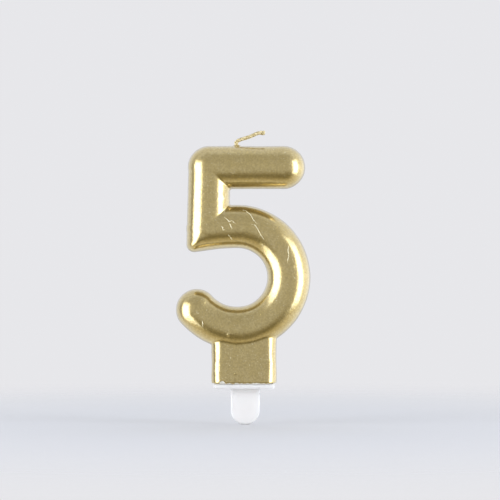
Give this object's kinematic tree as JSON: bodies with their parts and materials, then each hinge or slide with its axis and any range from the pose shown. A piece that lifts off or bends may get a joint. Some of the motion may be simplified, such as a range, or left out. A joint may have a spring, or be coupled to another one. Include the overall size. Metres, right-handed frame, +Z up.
{
  "type": "number birthday candle",
  "caption": "Birthday candle shaped as a gold numeral of round strokes on a plinth, with a bent wick on top and a plastic pick that pushes into the cake.",
  "frame": {"origin": "middle of the underside of the pick's flange, at the level of the cake's top", "axes": "+Z up along the candle, +X to the reader's right across the numeral, the numeral is read from -Y"},
  "size_m": [0.0444, 0.0134, 0.0978],
  "materials": {
    "gold_lacquered_wax": "gloss",
    "waxed_cotton": "matte",
    "gold_coated_cotton": "satin",
    "white_pick_plastic": "satin"
  },
  "bodies": {
    "pick": {"cake_pick": "white_pick_plastic"},
    "candle": {"wax_numeral": "gold_lacquered_wax", "wick_core": "waxed_cotton"},
    "wick_end": {"wick_tip": "gold_coated_cotton"}
  },
  "joints": [
    {"name": "candle_lift", "type": "slide", "parent": "pick", "child": "candle", "axis": [0, 0, 1], "range_m": [0, 0.009]},
    {"name": "wick_bend", "type": "hinge", "parent": "candle", "child": "wick_end", "pos_m": [-0.0024, 0, 0.0815], "axis": [0, -1, 0], "range_deg": [0, 70]}
  ]
}
